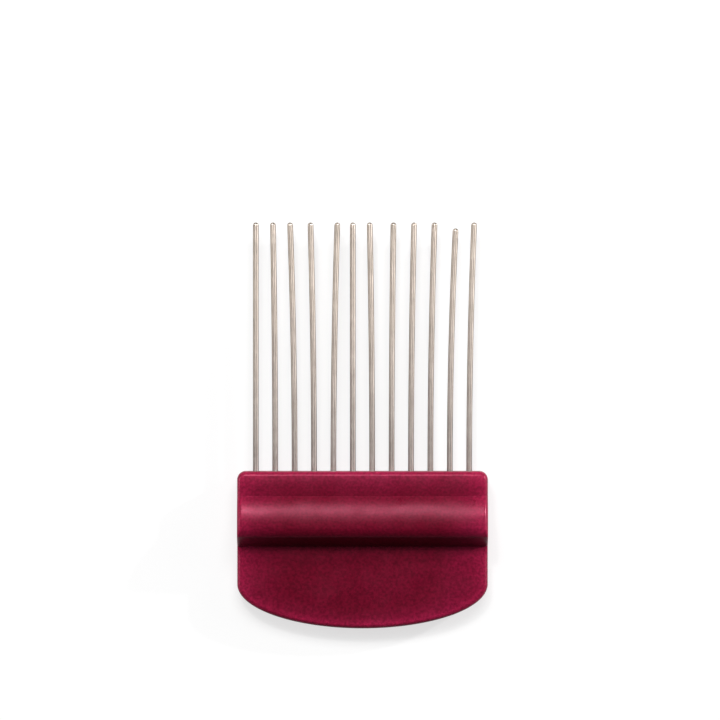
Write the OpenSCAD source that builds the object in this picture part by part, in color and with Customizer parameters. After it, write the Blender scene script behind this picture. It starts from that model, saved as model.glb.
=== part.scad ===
// A quilling comb lying on its back, in millimetres.
// The needles point along +Y, the face that the fingers hold looks along +Z, and +X is to the right.
// The origin is the middle of the handle's flat back.

/* [Needles] */
// Number of needles
needle_n = 12; // [4:1:18]
// Diameter of a needle
needle_d = 1.4; // [0.8:0.1:2]
// Distance from one needle to the next
needle_pitch = 4.64; // [3:0.02:6]
// Length of a needle outside the handle
needle_free_l = 59.5; // [30:0.5:100]
// Diameter of the upset head that keeps a needle in the handle
head_d = 2.2; // [2.1:0.1:2.8]
// Thickness of the upset head
head_t = 0.8; // [0.4:0.1:1.5]
// Room between a needle and the plastic round it
needle_room = 0.05; // [0.02:0.01:0.1]
// Plastic left between the end of a needle and the foot of the ridge
root_cover = 2.4; // [1:0.1:6]

/* [Handle outline] */
// Plastic beside the row, from the axis of the last needle to the handle's side
side_margin = 4.48; // [3:0.01:10]
// Length of the flat band that the needles stand in
band_l = 6; // [3:0.1:10]
// Length of the finger ridge, from the band to the plate
ridge_l = 12.2; // [9:0.1:16]
// Length of the plate, from the ridge to the lowest point of the bowed end
plate_l = 19.5; // [14:0.1:30]
// How far the bowed end swells past the straight sides
bow_l = 10.6; // [6:0.1:13]
// Radius of the two corners beside the needles
corner_r = 2; // [1:0.1:4]

/* [Handle section] */
// Thickness of the plate
plate_t = 5; // [4:0.1:8]
// How much thicker the band is than the plate
band_step = 2.6; // [1.8:0.1:4]
// How far the ridge's crest stands over the band
ridge_rise = 2.6; // [1:0.1:4]
// Distance from the ridge's crest to its foot on the plate
ridge_fall_l = 4.8; // [4:0.1:7]
// Radius of the rounded edge round the face
face_edge_r = 1.6; // [0.4:0.1:2]
// Radius of the rounded edge round the back
back_edge_r = 0.8; // [0.2:0.1:1.2]

/* [Hidden] */
$fn = 48;
plastic = "#7a1230";
steel = "#a89c90";

// The handle's size and the lines across it follow from the row of needles and the three zones.
handle_w = (needle_n - 1) * needle_pitch + 2 * side_margin;
handle_l = band_l + ridge_l + plate_l;
needle_edge_y = handle_l / 2;
band_foot_y = needle_edge_y - band_l;
ridge_foot_y = band_foot_y - ridge_l;
crest_y = ridge_foot_y + ridge_fall_l;
bow_y = -handle_l / 2 + bow_l;
band_t = plate_t + band_step;
crest_t = band_t + ridge_rise;

// The ridge rises from the band on one arc that is level at the crest.
rise_l = ridge_l - ridge_fall_l;
rise_r = (rise_l * rise_l + ridge_rise * ridge_rise) / (2 * ridge_rise);
rise_slope = asin(rise_l / rise_r);

// The needles lie in the middle of the band's thickness.
needle_z = band_t / 2;
needle_root_l = band_l + ridge_l - root_cover;

// Sideways drift of each tip, and what each needle lacks in length, as seen in the row.
tip_drift = [0.15, -0.55, -1.1, -0.85, 0.95, -0.15, -0.6, 0.45, 0.75, 1, 1.4, 1.2];
tip_short = [0, 0, 0, 0, 0, 0, 0, 0, 0, 0, 1.4, 0];

// Polishing leaves the round tip this much slimmer than the needle, all round.
tip_polish = 0.02;
// A bent needle is cut into this many straight steps where it has to be shown as facets.
bend_steps = 12;
// Degrees from one point to the next on the rounded edges, the bowed end, the corners and the ridge.
edge_turn = 18;
bow_turn = 6;
corner_turn = 15;
rise_turn = rise_slope / 8;
fall_turn = 6;
// A rounded edge leaves at least this radius at a corner that it goes round.
least_r = 0.05;

function needle_x(i) = (i - (needle_n + 1) / 2) * needle_pitch;
function needle_name(i) = str("needle_", i < 10 ? "0" : "", i);

// Points on a part of an ellipse about a centre.
function arc_points(centre, radii, from, to, turn) =
    [for (a = [from : turn : to]) centre + [radii[0] * cos(a), radii[1] * sin(a)]];

function reversed(list) = [for (i = [len(list) - 1 : -1 : 0]) list[i]];

// The handle seen from the front and drawn in by inset: a bowed end, or a straight one at end_y, and then
// the two round corners beside the needles. A corner is never sharper than the edge that goes round it.
function front_outline(inset, end_y) =
    let (side_x = handle_w / 2, round_r = max(corner_r, face_edge_r + least_r), r = round_r - inset)
    let (corner = [side_x - round_r, needle_edge_y - round_r])
    concat(
        is_undef(end_y)
            ? arc_points([0, bow_y], [side_x - inset, bow_l - inset], 180, 360, bow_turn)
            : [[-side_x + inset, end_y], [side_x - inset, end_y]],
        arc_points(corner, [r, r], 0, 90, corner_turn),
        arc_points([-corner[0], corner[1]], [r, r], 90, 180, corner_turn));

// The ridge from the side: a long rise from the band to the crest, and a quarter turn down to the plate.
// The rise starts a step early, inside the band, and the section's own foot lies inside the plate.
function ridge_section() =
    let (rise_from = 90 - rise_slope - rise_turn, inside_z = (plate_t + face_edge_r + back_edge_r) / 2)
    let (rise = arc_points([crest_y, crest_t - rise_r], [rise_r, rise_r], rise_from, 90, rise_turn))
    let (fall_r = [ridge_fall_l, crest_t - plate_t])
    concat(
        [[ridge_foot_y, inside_z], [rise[0][0], inside_z]],
        rise,
        arc_points([crest_y, plate_t], fall_r, 90 + fall_turn, 180, fall_turn));

// The quarter turn of an edge of radius r, as steps of how far it is drawn in and how far it stands off.
function edge_steps(r) = [for (a = [0 : edge_turn : 90]) [r * (1 - sin(a)), r * (1 - cos(a))]];

// A solid through rings of points that match one to one, each seen anticlockwise from the last ring.
module loft(rings) {
    per = len(rings[0]);
    last = (len(rings) - 1) * per;
    walls = [
        for (k = [0 : len(rings) - 2], i = [0 : per - 1])
            let (a = k * per + i, b = k * per + (i + 1) % per)
            each [[a, a + per, b], [b, a + per, b + per]]
    ];
    caps = [[for (i = [0 : per - 1]) i], [for (i = [per - 1 : -1 : 0]) last + i]];
    polyhedron([for (ring = rings) each ring], concat(walls, caps));
}

// A slab with its edges rounded at the back and at the face, as rings of the outline from the back up.
module rounded_slab(thick, end_y) {
    back = edge_steps(back_edge_r);
    face = [for (step = reversed(edge_steps(face_edge_r))) [step[0], thick - step[1]]];
    loft([for (step = concat(back, face)) [for (p = front_outline(step[0], end_y)) [p[0], p[1], step[1]]]]);
}

// The ridge carried from side to side, sinking at both ends as the face's edge does.
module ridge_bar() {
    left = [for (step = edge_steps(face_edge_r)) [step[1] - handle_w / 2, step[0]]];
    right = [for (step = reversed(left)) [-step[0], step[1]]];
    loft([for (end = concat(left, right)) [for (p = ridge_section()) [end[0], p[0], p[1] - end[1]]]]);
}

// A blind hole for one needle, with a wider pocket at its end for the needle's head.
module needle_hole(i) {
    past_edge = 1;
    hole_l = needle_root_l + past_edge;
    pocket_l = head_t + 2 * needle_room;
    translate([needle_x(i), needle_edge_y + past_edge, needle_z])
        rotate([90, 0, 0])
            cylinder(h = hole_l + needle_room, d = needle_d + 2 * needle_room);
    translate([needle_x(i), needle_edge_y - needle_root_l - needle_room, needle_z])
        rotate([-90, 0, 0])
            cylinder(h = pocket_l, d = head_d + 2 * needle_room);
}

module handle() {
    color(plastic)
        difference() {
            union() {
                rounded_slab(plate_t);
                rounded_slab(band_t, crest_y);
                ridge_bar();
            }
            for (i = [1 : needle_n]) needle_hole(i);
        }
}

// One needle: the root and head in the handle, a long bend outside it, and a round tip.
module needle(i) {
    own = (i - 1) % len(tip_drift);
    drift = tip_drift[own];
    bent_l = needle_free_l - tip_short[own] - needle_d / 2;
    bend_r = bent_l * bent_l / (2 * abs(drift));
    bend = bent_l / bend_r * 180 / PI;
    color(steel)
        translate([needle_x(i), needle_edge_y, needle_z]) {
            rotate([90, 0, 0])
                cylinder(h = needle_root_l, d = needle_d);
            translate([0, -needle_root_l, 0])
                rotate([-90, 0, 0])
                    cylinder(h = head_t, d = head_d);
            mirror([drift > 0 ? 1 : 0, 0, 0]) {
                translate([-bend_r, 0, 0])
                    rotate_extrude(angle = bend, $fn = bend_steps * 360 / bend)
                        translate([bend_r, 0])
                            circle(d = needle_d, $fn = 24);
                translate([-bend_r * (1 - cos(bend)), bend_r * sin(bend), 0])
                    rotate([-90, 0, bend])
                        needle_tip();
            }
        }
}

// A round nose on a short stub that reaches back into the needle.
module needle_tip() {
    tip_r = needle_d / 2 - tip_polish;
    rotate_extrude() {
        translate([0, -tip_r])
            square([tip_r, tip_r]);
        intersection() {
            circle(tip_r);
            square(tip_r);
        }
    }
}

handle();
for (i = [1 : needle_n])
    needle(i);
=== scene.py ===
import math

import bmesh
import bpy
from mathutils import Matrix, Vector


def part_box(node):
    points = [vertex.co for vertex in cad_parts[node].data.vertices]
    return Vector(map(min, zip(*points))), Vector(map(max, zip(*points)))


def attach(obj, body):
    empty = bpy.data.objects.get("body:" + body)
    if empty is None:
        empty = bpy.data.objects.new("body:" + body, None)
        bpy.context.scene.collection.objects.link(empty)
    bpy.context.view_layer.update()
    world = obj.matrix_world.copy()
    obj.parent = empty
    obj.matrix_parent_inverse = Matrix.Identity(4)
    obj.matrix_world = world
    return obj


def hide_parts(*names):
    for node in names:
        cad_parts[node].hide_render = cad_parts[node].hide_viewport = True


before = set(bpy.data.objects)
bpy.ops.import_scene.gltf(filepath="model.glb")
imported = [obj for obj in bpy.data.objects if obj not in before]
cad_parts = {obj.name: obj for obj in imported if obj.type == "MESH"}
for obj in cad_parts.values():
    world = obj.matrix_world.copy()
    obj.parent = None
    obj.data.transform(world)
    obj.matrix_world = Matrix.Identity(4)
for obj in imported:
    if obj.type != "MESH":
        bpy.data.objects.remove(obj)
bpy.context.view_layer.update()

MM = 0.001


# The picture
# The comb lies on its back and is seen straight from above, needles towards the top of the picture.
# A very long lens keeps the ridge and the plate at the same scale, as they are in the photograph.
picture_px = 720
px_per_mm = 4.18
handle_middle_px = (362.5, 549.8)
lens_mm = 300
sensor_mm = 36
needles_z = 0.5 * sum(corner[2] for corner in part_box("needle_06"))

picture_width = picture_px / px_per_mm * MM
camera = bpy.data.objects.new("camera", bpy.data.cameras.new("camera"))
bpy.context.collection.objects.link(camera)
camera.data.lens = lens_mm
camera.data.sensor_width = sensor_mm
camera.location = (
    (picture_px / 2 - handle_middle_px[0]) / px_per_mm * MM,
    (handle_middle_px[1] - picture_px / 2) / px_per_mm * MM,
    needles_z + picture_width * lens_mm / sensor_mm,
)
camera.data.clip_start = 0.01
camera.data.clip_end = 10
bpy.context.scene.camera = camera


# The handle
# One moulding of glossy burgundy plastic, shot round the roots of the needles in a single go. From the
# needle edge down it has a softly crowned band, a ridge to pull against and a thinner plate with a bowed
# end. The mould left a parting line round its side, and ejector marks and a gate dimple on its flat back.
low, high = (Vector(corner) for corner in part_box("handle"))
half_w = high.x
needle_edge_y = high.y
band_l = 6 * MM
ridge_l = 12.2 * MM
ridge_fall_l = 4.8 * MM
bow_l = 10.6 * MM
corner_r = 2 * MM
plate_t = 5 * MM
band_t = 7.6 * MM
crest_t = high.z
face_edge_r = 1.1 * MM
back_edge_r = 0.8 * MM
band_crown_r = 24 * MM
band_crown_l = 4.6 * MM
side_crown_r = 38 * MM
side_crown_l = 6 * MM
parting_z = 2.2 * MM
parting_half_t = 0.07 * MM
parting_flash = 0.05 * MM
bow_y = low.y + bow_l
band_foot_y = needle_edge_y - band_l
ridge_foot_y = band_foot_y - ridge_l
crest_y = ridge_foot_y + ridge_fall_l
wall_x = half_w - parting_flash
wall_y = needle_edge_y - parting_flash
tiny = 0.01 * MM
snap = 1e-7


def select_only(piece):
    bpy.ops.object.select_all(action="DESELECT")
    piece.select_set(True)
    bpy.context.view_layer.objects.active = piece


def pick(piece, verts=None, edges=None, faces=None):
    """Selects, in edit mode, the verts, edges or faces that the given test picks."""
    bpy.ops.mesh.select_all(action="DESELECT")
    mode = "VERT" if verts else "EDGE" if edges else "FACE"
    bpy.ops.mesh.select_mode(type=mode)
    mesh = bmesh.from_edit_mesh(piece.data)
    things = mesh.verts if verts else mesh.edges if edges else mesh.faces
    chosen = [t for t in things if (verts or edges or faces)(t)]
    for thing in chosen:
        thing.select_set(True)
    mesh.select_flush_mode()
    bmesh.update_edit_mesh(piece.data)


# The outline: the lower half of a stretched circle, drawn up to the needle edge, with two round corners.
bpy.ops.object.select_all(action="DESELECT")
bpy.ops.mesh.primitive_circle_add(vertices=144, radius=1, location=(0, bow_y, 0))
handle = bpy.context.object
handle.name = "handle_moulding"
handle.scale = (wall_x, bow_l - parting_flash, 1)
bpy.ops.object.transform_apply(location=True, rotation=True, scale=True)
bpy.ops.object.mode_set(mode="EDIT")
pick(handle, verts=lambda v: v.co.y > bow_y + tiny)
bpy.ops.mesh.delete(type="VERT")
pick(handle, verts=lambda v: v.co.y > bow_y - tiny)
bpy.ops.mesh.extrude_vertices_move(TRANSFORM_OT_translate={"value": (0, wall_y - bow_y, 0)})
pick(handle, verts=lambda v: v.co.y > wall_y - tiny)
bpy.ops.mesh.edge_face_add()
bpy.ops.mesh.select_all(action="SELECT")
bpy.ops.mesh.edge_face_add()
pick(handle, verts=lambda v: v.co.y > wall_y - tiny)
bpy.ops.mesh.bevel(offset=corner_r, segments=12, affect="VERTICES")

# The plate, rounded round its face and its back.
bpy.ops.mesh.select_all(action="SELECT")
bpy.ops.mesh.extrude_region_move(TRANSFORM_OT_translate={"value": (0, 0, plate_t)})
bpy.ops.mesh.select_all(action="SELECT")
bpy.ops.mesh.normals_make_consistent(inside=False)
pick(handle, edges=lambda e: min(v.co.z for v in e.verts) > plate_t - tiny)
bpy.ops.mesh.bevel(offset=face_edge_r, segments=10, affect="EDGES", clamp_overlap=False)
pick(handle, edges=lambda e: max(v.co.z for v in e.verts) < tiny)
bpy.ops.mesh.bevel(offset=back_edge_r, segments=6, affect="EDGES", clamp_overlap=False)

# The height of the face, at each place where it is cut across: first the crowned band.
rise_l = ridge_l - ridge_fall_l
ridge_rise = crest_t - band_t
rise_r = (rise_l**2 + ridge_rise**2) / (2 * ridge_rise)


def band_height(y):
    """The band is level by the ridge and falls away in a wide arc towards the needle edge."""
    past = max(0, y - needle_edge_y + band_crown_l)
    return band_t - (band_crown_r - math.sqrt(band_crown_r**2 - past**2))


# A narrow hollow leads from the band into the rise: its arc touches the band and the ridge's own arc.
hollow_r = 0.06 * MM
hollow_turn = math.acos((band_t + hollow_r - crest_t + rise_r) / (hollow_r + rise_r))
hollow_y = crest_y + (hollow_r + rise_r) * math.sin(hollow_turn)
heights = {}
crown_end_y = wall_y - corner_r - 0.1 * MM
for step in range(11):
    y = hollow_y + (crown_end_y - hollow_y) * step / 10
    heights[y] = band_height(y)
for step in range(1, 3):
    turn = hollow_turn * step / 3
    heights[hollow_y - hollow_r * math.sin(turn)] = band_t + hollow_r * (1 - math.cos(turn))
for step in range(17):
    turn = hollow_turn * (1 - step / 16)
    heights[crest_y + rise_r * math.sin(turn)] = crest_t - rise_r * (1 - math.cos(turn))
# The fall bends over ever faster for its first part, and then drops straight to its sharp foot.
over_l = 0.46 * ridge_fall_l
over_turn = math.radians(42)
for step in range(1, 13):
    turn = over_turn * step / 12
    heights[crest_y - over_l * step / 12] = crest_t + over_l / over_turn * math.log(math.cos(turn))
flank_y = crest_y - over_l
flank_z = heights[flank_y]
turn_l = 0.05 * MM
for turn in (46, 52, 58):
    flank_y -= turn_l
    flank_z -= turn_l * math.tan(math.radians(turn))
    heights[flank_y] = flank_z
flank_foot_y = ridge_foot_y + 0.25 * MM
for step in range(1, 7):
    y = flank_y + (flank_foot_y - flank_y) * step / 7
    heights[y] = flank_z + (plate_t - flank_z) * step / 7
for past_foot in (0.12, 0.5, 1, 1.5, 2, 2.5):
    heights[flank_foot_y - past_foot * MM] = plate_t

# The cuts, and the face and its rounded edge raised along each of them.
for y in heights:
    bpy.ops.mesh.select_all(action="SELECT")
    bpy.ops.mesh.bisect(plane_co=(0, y, 0), plane_no=(0, 1, 0), threshold=snap)
rim_z = plate_t - face_edge_r - tiny
for y, height in heights.items():
    if height > plate_t + tiny / 10:
        pick(handle, verts=lambda v: abs(v.co.y - y) < tiny / 4 and v.co.z > rim_z)
        bpy.ops.transform.translate(value=(0, 0, height - plate_t))
# The rounded needle edge has points of its own, which take the height of the crown where they are.
mesh = bmesh.from_edit_mesh(handle.data)
low_points = [v for v in mesh.verts if v.co.y > hollow_y and rim_z < v.co.z < plate_t + tiny]
for y in sorted({round(v.co.y, 7) for v in low_points}):
    pick(handle, verts=lambda v: round(v.co.y, 7) == y and rim_z < v.co.z < plate_t + tiny)
    bpy.ops.transform.translate(value=(0, 0, band_height(y) - plate_t))

# Beside the steep flank the rounding of both sides is drawn in smaller, so that the flank stays whole.
narrow_l = 2.2 * MM
narrowest = 0.4
for y, height in heights.items():
    past = max(y - flank_y, flank_foot_y - y, 0) / narrow_l
    if past >= 1:
        continue
    share = narrowest + (1 - narrowest) * past
    for side in (-1, 1):
        pick(handle, verts=lambda v: (
            abs(v.co.y - y) < tiny / 4 and side * v.co.x > wall_x - face_edge_r - tiny and v.co.z > rim_z
        ))
        bpy.ops.transform.resize(value=(share, 1, share), center_override=(side * wall_x, y, height))

# The whole face also falls away a little towards its two sides.
for x in (-27, -25.5, -24, 24, 25.5, 27):
    bpy.ops.mesh.select_all(action="SELECT")
    bpy.ops.mesh.bisect(plane_co=(x * MM, 0, 0), plane_no=(1, 0, 0), threshold=snap)
mesh = bmesh.from_edit_mesh(handle.data)
face_xs = {round(abs(v.co.x), 6) for v in mesh.verts if v.co.z > rim_z}
for side in sorted(x for x in face_xs if x > half_w - side_crown_l + tiny):
    past = side - half_w + side_crown_l
    drop = side_crown_r - math.sqrt(side_crown_r**2 - past**2)
    pick(handle, verts=lambda v: round(abs(v.co.x), 6) == side and v.co.z > rim_z)
    bpy.ops.transform.translate(value=(0, 0, -drop))

# The parting line: a hair of flash all round the side, where the two halves of the mould met.
for z in (parting_z - parting_half_t, parting_z, parting_z + parting_half_t):
    bpy.ops.mesh.select_all(action="SELECT")
    bpy.ops.mesh.bisect(plane_co=(0, 0, z), plane_no=(0, 0, 1), threshold=snap)
pick(handle, verts=lambda v: abs(v.co.z - parting_z) < tiny / 4)
bpy.ops.transform.shrink_fatten(value=parting_flash)
bpy.ops.object.mode_set(mode="OBJECT")

# What is cut out of it: the seats of the needles, four ejector marks and a dimple round the gate.
needle_count = 12
needle_pitch = 4.64 * MM
needle_r = 0.7 * MM
needle_root_l = 15.8 * MM
head_r = 1.1 * MM
head_t = 0.8 * MM
seat_room = 0.04 * MM
mark_r = 2 * MM
mark_depth = 0.12 * MM
gate_y = -9 * MM
root_xs = [(number - (needle_count - 1) / 2) * needle_pitch for number in range(needle_count)]
root_y = needle_edge_y - needle_root_l

cutters = []
for x in root_xs:
    long_l = needle_root_l + 2 * MM
    for radius, length, y in (
        (needle_r + seat_room, long_l, root_y - seat_room + long_l / 2),
        (head_r + seat_room, head_t + 2 * seat_room, root_y + head_t / 2),
    ):
        bpy.ops.mesh.primitive_cylinder_add(
            vertices=32, radius=radius, depth=length, location=(x, y, needles_z), rotation=(math.pi / 2, 0, 0)
        )
        cutters.append(bpy.context.object)
for x, y, radius, depth in (
    (-24 * MM, 12.5 * MM, mark_r, mark_depth),
    (24 * MM, 12.5 * MM, mark_r, mark_depth),
    (-21 * MM, -6 * MM, mark_r, mark_depth),
    (21 * MM, -6 * MM, mark_r, mark_depth),
    (0, gate_y, 2.6 * MM, 0.5 * MM),
):
    bpy.ops.mesh.primitive_cylinder_add(vertices=48, radius=radius, depth=2 * depth, location=(x, y, 0))
    cutters.append(bpy.context.object)


def cut_out(piece, tools):
    """Takes each tool's shape out of the piece, one after the other, and deletes the tools."""
    for tool in tools:
        select_only(piece)
        cut = piece.modifiers.new("cut", "BOOLEAN")
        cut.operation = "DIFFERENCE"
        cut.solver = "EXACT"
        cut.object = tool
        bpy.ops.object.modifier_apply(modifier=cut.name)
        bpy.data.objects.remove(tool)


cut_out(handle, cutters)

# The stub of the gate, twisted off inside its dimple.
bpy.ops.mesh.primitive_cylinder_add(
    vertices=24, radius=0.7 * MM, depth=0.5 * MM, location=(0, gate_y, 0.4 * MM)
)
stub = bpy.context.object
bpy.ops.object.mode_set(mode="EDIT")
pick(stub, faces=lambda f: f.normal.z < -0.9)
bpy.ops.mesh.inset(thickness=0.2 * MM)
bpy.ops.transform.translate(value=(0.05 * MM, 0, 0.1 * MM))
bpy.ops.object.mode_set(mode="OBJECT")
select_only(handle)
weld = handle.modifiers.new("weld", "BOOLEAN")
weld.operation = "UNION"
weld.solver = "EXACT"
weld.object = stub
bpy.ops.object.modifier_apply(modifier=weld.name)
bpy.data.objects.remove(stub)

bpy.ops.object.transform_apply(location=True, rotation=True, scale=True)
bpy.ops.object.shade_smooth_by_angle(angle=math.radians(35))
level = handle.modifiers.new("level", "WEIGHTED_NORMAL")
level.keep_sharp = True
bpy.ops.object.modifier_apply(modifier=level.name)

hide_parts("handle")
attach(handle, "root")


def add_node(material, kind, **settings):
    """Adds a node to a material, and sets its options and its sockets by name."""
    node = material.node_tree.nodes.new(kind)
    for name, value in settings.items():
        if hasattr(node, name):
            setattr(node, name, value)
        else:
            node.inputs[name.replace("_", " ")].default_value = value
    return node


def ramp(material, fac, stops):
    """A colour ramp fed by fac, with the given (position, colour) stops."""
    node = material.node_tree.nodes.new("ShaderNodeValToRGB")
    while len(node.color_ramp.elements) < len(stops):
        node.color_ramp.elements.new(0.5)
    for element, (position, colour) in zip(node.color_ramp.elements, stops):
        element.position = position
        element.color = (*colour, 1)
    material.node_tree.links.new(fac, node.inputs["Fac"])
    return node


def burgundy_plastic():
    """Deep red glossy plastic: cloudy in its depth, with moulding grain, hairlines and worn gloss."""
    material = bpy.data.materials.new("burgundy_plastic")
    material.use_nodes = True
    link = material.node_tree.links.new
    shader = material.node_tree.nodes["Principled BSDF"]
    shader.inputs["IOR"].default_value = 1.42
    shader.inputs["Specular Tint"].default_value = (1.0, 0.28, 0.42, 1)
    place = add_node(material, "ShaderNodeTexCoord").outputs["Object"]

    clouds = add_node(material, "ShaderNodeTexNoise", Scale=70.0, Detail=4.0, Roughness=0.55)
    link(place, clouds.inputs["Vector"])
    depth = ramp(material, clouds.outputs["Fac"], (
        (0.30, (0.096, 0.0018, 0.0105)),
        (0.55, (0.111, 0.0022, 0.0132)),
        (0.78, (0.128, 0.0030, 0.0170)),
    ))

    # Painted glow: towards the rim the base colour is made lighter and redder, standing in for light let in
    # through the sides, and it also lifts the shade on the rounded edges.
    split = add_node(material, "ShaderNodeSeparateXYZ")
    link(place, split.inputs["Vector"])
    past_bow = add_node(material, "ShaderNodeMapRange", From_Min=bow_y, From_Max=low.y, To_Max=1.1)
    link(split.outputs["Y"], past_bow.inputs["Value"])
    from_middle = add_node(material, "ShaderNodeMath", operation="DIVIDE")
    from_middle.inputs[1].default_value = half_w
    link(split.outputs["X"], from_middle.inputs[0])
    past_edge = add_node(material, "ShaderNodeMapRange")
    past_edge.inputs["From Min"].default_value = needle_edge_y - 15 * MM
    past_edge.inputs["From Max"].default_value = needle_edge_y
    link(split.outputs["Y"], past_edge.inputs["Value"])
    in_bow = add_node(material, "ShaderNodeCombineXYZ")
    link(from_middle.outputs[0], in_bow.inputs["X"])
    link(past_bow.outputs["Result"], in_bow.inputs["Y"])
    round_rim = add_node(material, "ShaderNodeVectorMath", operation="LENGTH")
    link(in_bow.outputs["Vector"], round_rim.inputs[0])
    square_rim = add_node(material, "ShaderNodeMath", operation="ADD")
    for socket, source in ((0, from_middle.outputs[0]), (1, past_edge.outputs["Result"])):
        steep = add_node(material, "ShaderNodeMath", operation="POWER")
        steep.inputs[1].default_value = 8
        link(source, steep.inputs[0])
        link(steep.outputs[0], square_rim.inputs[socket])
    evened = add_node(material, "ShaderNodeMath", operation="POWER")
    evened.inputs[1].default_value = 1 / 8
    link(square_rim.outputs[0], evened.inputs[0])
    rim = add_node(material, "ShaderNodeMath", operation="MAXIMUM")
    link(round_rim.outputs["Value"], rim.inputs[0])
    link(evened.outputs[0], rim.inputs[1])
    # Painted light: this ramp lightens and reddens the rim, as painted glow and painted fill on the rounded
    # edges.
    painted_rim_glow = ramp(material, rim.outputs[0], (
        (0.60, (1.0, 1.0, 1.0)),
        (0.86, (1.35, 1.8, 1.65)),
        (0.95, (1.9, 3.0, 2.5)),
        (1.0, (2.35, 4.0, 3.2)),
    ))
    clear = add_node(material, "ShaderNodeMix", data_type="RGBA", blend_type="MULTIPLY")
    clear.inputs["Factor"].default_value = 1
    link(depth.outputs["Color"], clear.inputs[6])
    link(painted_rim_glow.outputs["Color"], clear.inputs[7])
    specks = add_node(material, "ShaderNodeTexNoise", Scale=1700.0, Detail=2.0)
    link(place, specks.inputs["Vector"])
    fine = ramp(material, specks.outputs["Fac"], ((0.34, (0.72, 0.72, 0.72)), (0.66, (1.2, 1.2, 1.2))))
    tone = add_node(material, "ShaderNodeMix", data_type="RGBA", blend_type="MULTIPLY")
    tone.inputs["Factor"].default_value = 1
    link(clear.outputs[2], tone.inputs[6])
    link(fine.outputs["Color"], tone.inputs[7])
    link(tone.outputs[2], shader.inputs["Base Color"])

    handling = add_node(material, "ShaderNodeTexNoise", Scale=160.0, Detail=5.0, Roughness=0.65)
    link(place, handling.inputs["Vector"])
    gloss = ramp(material, handling.outputs["Fac"], ((0.32, (0.27, 0.27, 0.27)), (0.7, (0.41, 0.41, 0.41))))
    edge_ramp = ramp(material, rim.outputs[0], ((0.86, (1, 1, 1)), (1.0, (0.88, 0.88, 0.88))))
    worn = add_node(material, "ShaderNodeMix", data_type="RGBA", blend_type="MULTIPLY")
    worn.inputs["Factor"].default_value = 1
    link(gloss.outputs["Color"], worn.inputs[6])
    link(edge_ramp.outputs["Color"], worn.inputs[7])
    link(worn.outputs[2], shader.inputs["Roughness"])

    # Hairlines from use, in two directions, under them the faint orange peel of the mould's wall.
    heights_sum = None
    for turn, across, along in ((0.45, 9000.0, 90.0), (-1.1, 7000.0, 120.0)):
        turned = add_node(material, "ShaderNodeMapping")
        turned.inputs["Rotation"].default_value = (0, 0, turn)
        turned.inputs["Scale"].default_value = (across, along, along)
        hairs = add_node(material, "ShaderNodeTexNoise", Scale=1.0, Detail=2.0)
        link(place, turned.inputs["Vector"])
        link(turned.outputs["Vector"], hairs.inputs["Vector"])
        cuts = ramp(material, hairs.outputs["Fac"], ((0.24, (0, 0, 0)), (0.33, (1, 1, 1))))
        if heights_sum is None:
            heights_sum = cuts.outputs["Color"]
        else:
            both = add_node(material, "ShaderNodeMath", operation="MULTIPLY")
            link(heights_sum, both.inputs[0])
            link(cuts.outputs["Color"], both.inputs[1])
            heights_sum = both.outputs[0]
    sink = add_node(material, "ShaderNodeTexNoise", Scale=75.0, Detail=2.0)
    link(place, sink.inputs["Vector"])
    sink_bump = add_node(material, "ShaderNodeBump", Strength=1.0, Distance=0.0004)
    link(sink.outputs["Fac"], sink_bump.inputs["Height"])
    peel = add_node(material, "ShaderNodeTexNoise", Scale=900.0, Detail=2.0)
    link(place, peel.inputs["Vector"])
    peel_bump = add_node(material, "ShaderNodeBump", Strength=0.25, Distance=0.00002)
    link(peel.outputs["Fac"], peel_bump.inputs["Height"])
    link(sink_bump.outputs["Normal"], peel_bump.inputs["Normal"])
    hair_bump = add_node(material, "ShaderNodeBump", Strength=0.12, Distance=0.00001)
    link(heights_sum, hair_bump.inputs["Height"])
    link(peel_bump.outputs["Normal"], hair_bump.inputs["Normal"])
    link(hair_bump.outputs["Normal"], shader.inputs["Normal"])
    return material


handle.data.materials.clear()
handle.data.materials.append(burgundy_plastic())


# The needles
# Twelve lengths of hard steel wire, ground dull, their free ends turned to smooth round noses. An upset
# head at the root of each keeps it in the plastic, and each was bent a little to its own side.
free_steps = 14
nose_steps = 7
nose_r = needle_r

bpy.ops.object.select_all(action="DESELECT")
bpy.ops.mesh.primitive_circle_add(
    vertices=32, radius=head_r, fill_type="NGON", location=(0, root_y, needles_z), rotation=(math.pi / 2, 0, 0)
)
master = bpy.context.object
master.name = "needle_master"
bpy.ops.object.transform_apply(location=True, rotation=True, scale=True)
bpy.ops.object.mode_set(mode="EDIT")
tip_y = max(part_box(f"needle_{number + 1:02d}")[1][1] for number in range(needle_count)) - tiny / 100


def pull(to_y, scale=1.0):
    """Extrudes the picked end to a new place along the needle, and draws it in by the given scale."""
    mesh = bmesh.from_edit_mesh(master.data)
    from_y = [v.co.y for v in mesh.verts if v.select][0]
    bpy.ops.mesh.extrude_region_move(TRANSFORM_OT_translate={"value": (0, to_y - from_y, 0)})
    if scale != 1:
        bpy.ops.transform.resize(value=(scale, 1, scale), center_override=(0, to_y, needles_z))


pull(root_y + head_t * 0.8)
pull(root_y + head_t, scale=needle_r / head_r)
pull(needle_edge_y)
for step in range(1, free_steps + 1):
    pull(needle_edge_y + (tip_y - nose_r - needle_edge_y) * step / free_steps)
for step in range(1, nose_steps):
    turn = math.pi / 2 * step / nose_steps
    before = math.pi / 2 * (step - 1) / nose_steps
    pull(tip_y - nose_r + nose_r * math.sin(turn), scale=math.cos(turn) / math.cos(before))
bpy.ops.mesh.extrude_region_move(TRANSFORM_OT_translate={"value": (0, nose_r * (1 - math.sin(turn)), 0)})
bpy.ops.mesh.merge(type="CENTER")
bpy.ops.mesh.select_all(action="SELECT")
bpy.ops.mesh.remove_doubles(threshold=snap)
bpy.ops.mesh.normals_make_consistent(inside=False)
bpy.ops.object.mode_set(mode="OBJECT")


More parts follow.
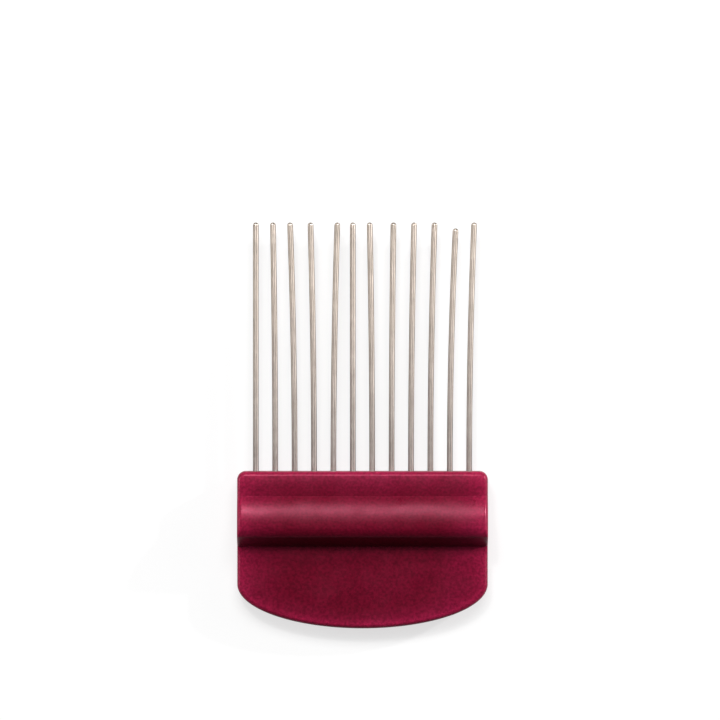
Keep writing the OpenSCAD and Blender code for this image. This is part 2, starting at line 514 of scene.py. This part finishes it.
# The nose was polished brighter than the wire, more and more towards its end.
polish = master.data.attributes.new("polish", "FLOAT", "POINT")
for vertex in master.data.vertices:
    past = (vertex.co.y - tip_y + nose_r) / (0.4 * nose_r)
    polish.data[vertex.index].value = min(1, max(0, past))


def ground_steel():
    """Hard steel, ground round its length, so that its gloss is drawn out into one streak along it."""
    material = bpy.data.materials.new("ground_steel")
    material.use_nodes = True
    link = material.node_tree.links.new
    shader = material.node_tree.nodes["Principled BSDF"]
    shader.inputs["Metallic"].default_value = 1
    shader.inputs["Anisotropic"].default_value = 0.95
    shader.inputs["Anisotropic Rotation"].default_value = 0.25
    place = add_node(material, "ShaderNodeTexCoord").outputs["Object"]
    grain = add_node(material, "ShaderNodeTangent", direction_type="RADIAL", axis="Y")
    link(grain.outputs["Tangent"], shader.inputs["Tangent"])

    # The tint drifts along the wire, and darkens towards the plastic.
    drift = add_node(material, "ShaderNodeTexNoise", Scale=220.0, Detail=4.0, Roughness=0.6)
    link(place, drift.inputs["Vector"])
    tints = ramp(material, drift.outputs["Fac"], (
        (0.30, (0.50, 0.43, 0.37)),
        (0.55, (0.585, 0.505, 0.44)),
        (0.75, (0.655, 0.575, 0.505)),
    ))
    split = add_node(material, "ShaderNodeSeparateXYZ")
    link(place, split.inputs["Vector"])
    reach = add_node(material, "ShaderNodeMapRange", From_Min=needle_edge_y, From_Max=needle_edge_y + 45 * MM)
    link(split.outputs["Y"], reach.inputs["Value"])
    edge_ramp = ramp(material, reach.outputs["Result"], (
        (0.0, (0.60, 0.61, 0.65)),
        (0.5, (0.84, 0.84, 0.86)),
        (1.0, (1, 1, 1)),
    ))
    tone = add_node(material, "ShaderNodeMix", data_type="RGBA", blend_type="MULTIPLY")
    tone.inputs["Factor"].default_value = 1
    link(tints.outputs["Color"], tone.inputs[6])
    link(edge_ramp.outputs["Color"], tone.inputs[7])
    link(tone.outputs[2], shader.inputs["Base Color"])

    # Grinding lines run round the wire, a few tenths of a millimetre apart, and fade out on the nose.
    rings = add_node(material, "ShaderNodeMapping")
    rings.inputs["Scale"].default_value = (300, 4000, 300)
    link(place, rings.inputs["Vector"])
    lines = add_node(material, "ShaderNodeTexNoise", Scale=1.0, Detail=2.0)
    link(rings.outputs["Vector"], lines.inputs["Vector"])
    dull = ramp(material, lines.outputs["Fac"], ((0.3, (0.42, 0.42, 0.42)), (0.7, (0.48, 0.48, 0.48))))
    polished = add_node(material, "ShaderNodeAttribute", attribute_name="polish")
    gloss = add_node(material, "ShaderNodeMix", data_type="FLOAT")
    link(polished.outputs["Fac"], gloss.inputs[0])
    link(dull.outputs["Color"], gloss.inputs[2])
    gloss.inputs[3].default_value = 0.15
    link(gloss.outputs[0], shader.inputs["Roughness"])
    bump = add_node(material, "ShaderNodeBump", Strength=0.12, Distance=0.00001)
    link(lines.outputs["Fac"], bump.inputs["Height"])
    link(bump.outputs["Normal"], shader.inputs["Normal"])
    return material


steel = ground_steel()
master.data.materials.append(steel)
select_only(master)
bpy.ops.object.shade_smooth_by_angle(angle=math.radians(50))
for number, root_x in enumerate(root_xs):
    name = f"needle_{number + 1:02d}"
    box_low, box_high = (Vector(corner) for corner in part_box(name))
    lean = 0
    if box_high.x - root_x > head_r + tiny:
        lean = box_high.x - needle_r - root_x
    elif root_x - box_low.x > head_r + tiny:
        lean = box_low.x + needle_r - root_x
    short = tip_y - box_high.y

    needle = master.copy()
    needle.data = master.data.copy()
    needle.name = f"{name}_wire"
    bpy.context.collection.objects.link(needle)
    select_only(needle)
    bpy.ops.object.mode_set(mode="EDIT")
    mesh = bmesh.from_edit_mesh(needle.data)
    free_ys = sorted({round(v.co.y, 7) for v in mesh.verts if v.co.y > needle_edge_y + tiny})
    nose_y = tip_y - nose_r - tiny
    for y in free_ys:
        pick(needle, verts=lambda v: abs(v.co.y - y) < tiny / 5)
        reach = (y - needle_edge_y) / (tip_y - needle_edge_y)
        drawn_in = -short if y > nose_y else -short * reach
        bpy.ops.transform.translate(value=(lean * reach**2, drawn_in, 0))
    bpy.ops.mesh.select_all(action="SELECT")
    bpy.ops.transform.translate(value=(root_x, 0, 0))
    bpy.ops.object.mode_set(mode="OBJECT")
    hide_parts(name)
    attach(needle, "root")
bpy.data.objects.remove(master)


# The floor and the light
# A plain white sheet under the comb, a wide soft lamp beyond the needles and weaker ones at the sides. The
# sheet shows from above only, and lets a lamp under it light the back, so that the back can be looked at.
bpy.ops.object.select_all(action="DESELECT")
bpy.ops.mesh.primitive_plane_add(size=4, location=(0, 0, low.z - tiny))
floor = bpy.context.object
floor.name = "floor"
floor.visible_shadow = False


def white_sheet():
    """A matt sheet that takes the comb's shadow, and is lifted towards white where it is looked at."""
    material = bpy.data.materials.new("white_sheet")
    material.use_nodes = True
    link = material.node_tree.links.new
    shader = material.node_tree.nodes["Principled BSDF"]
    shader.inputs["Roughness"].default_value = 0.9
    shader.inputs["Specular IOR Level"].default_value = 0.1
    seen = add_node(material, "ShaderNodeLightPath")
    either = None
    for kind in ("Is Camera Ray", "Is Glossy Ray", "Is Transmission Ray"):
        if either is None:
            either = seen.outputs[kind]
        else:
            most = add_node(material, "ShaderNodeMath", operation="MAXIMUM")
            link(either, most.inputs[0])
            link(seen.outputs[kind], most.inputs[1])
            either = most.outputs[0]
    share = add_node(material, "ShaderNodeMath", operation="MULTIPLY_ADD", use_clamp=True)
    link(seen.outputs["Is Camera Ray"], share.inputs[0])
    share.inputs[1].default_value = 0.33
    most_share = add_node(material, "ShaderNodeMath", operation="MULTIPLY")
    most_share.inputs[1].default_value = 0.35
    link(either, most_share.inputs[0])
    link(most_share.outputs[0], share.inputs[2])
    tone = ramp(material, seen.outputs["Is Camera Ray"], (
        (0.0, (0.45, 0.45, 0.45)),
        (1.0, (0.94, 0.94, 0.94)),
    ))
    link(tone.outputs["Color"], shader.inputs["Base Color"])
    white = add_node(material, "ShaderNodeEmission", Strength=1.0)
    mix = add_node(material, "ShaderNodeMixShader")
    link(share.outputs[0], mix.inputs["Fac"])
    link(shader.outputs["BSDF"], mix.inputs[1])
    link(white.outputs["Emission"], mix.inputs[2])
    side = add_node(material, "ShaderNodeNewGeometry")
    gone = add_node(material, "ShaderNodeBsdfTransparent")
    one_sided = add_node(material, "ShaderNodeMixShader")
    link(side.outputs["Backfacing"], one_sided.inputs["Fac"])
    link(mix.outputs["Shader"], one_sided.inputs[1])
    link(gone.outputs["BSDF"], one_sided.inputs[2])
    link(one_sided.outputs["Shader"], material.node_tree.nodes["Material Output"].inputs["Surface"])
    return material


floor.data.materials.append(white_sheet())

lamp_aim = Vector((0, 0.01, 0))


def soft_lamp(name, place, size, power):
    """A rectangle of light that faces the comb."""
    lamp = bpy.data.lights.new(name, "AREA")
    lamp.shape = "RECTANGLE"
    lamp.size, lamp.size_y = size
    lamp.energy = power
    holder = bpy.data.objects.new(name, lamp)
    bpy.context.collection.objects.link(holder)
    holder.location = place
    holder.rotation_euler = (Vector(place) - lamp_aim).to_track_quat("Z", "Y").to_euler()


soft_lamp("far_lamp", (-0.02, 0.78, 0.93), (1.0, 0.42), 12.8)
soft_lamp("high_lamp", (0, 0.47, 1.1), (0.7, 0.25), 1.2)
soft_lamp("left_lamp", (-0.95, 0.38, 0.42), (0.5, 0.4), 3)
soft_lamp("right_lamp", (0.95, 0.38, 0.42), (0.4, 0.4), 1.4)
soft_lamp("left_spark", (-0.25, 0.73, 0.94), (0.06, 0.06), 2.6)
soft_lamp("right_spark", (1.02, 0.56, 0.37), (0.05, 0.05), 9)
soft_lamp("left_low_lamp", (-0.9, 0.09, 0.2), (0.4, 0.2), 1)
soft_lamp("right_low_lamp", (0.9, 0.09, 0.2), (0.4, 0.2), 0.9)
soft_lamp("back_lamp", (0.2, -0.3, -0.9), (0.6, 0.6), 5)


def white_room():
    """Dim all round the comb, white where it is looked at, and a little paler in what reflects it."""
    world = bpy.data.worlds.new("studio")
    world.use_nodes = True
    link = world.node_tree.links.new
    background = world.node_tree.nodes["Background"]
    background.inputs["Color"].default_value = (1, 1, 1, 1)
    seen = world.node_tree.nodes.new("ShaderNodeLightPath")
    strength = seen.outputs["Is Camera Ray"]
    for kind, part in (("Is Glossy Ray", 0.12), ("Is Transmission Ray", 0.12)):
        added = world.node_tree.nodes.new("ShaderNodeMath")
        added.operation = "MULTIPLY_ADD"
        added.inputs[1].default_value = part
        link(seen.outputs[kind], added.inputs[0])
        link(strength, added.inputs[2])
        strength = added.outputs[0]
    least = world.node_tree.nodes.new("ShaderNodeMath")
    least.operation = "MAXIMUM"
    least.inputs[1].default_value = 0.05
    link(strength, least.inputs[0])
    link(least.outputs[0], background.inputs["Strength"])
    return world


bpy.context.scene.world = white_room()

bpy.context.scene.view_settings.view_transform = "Standard"
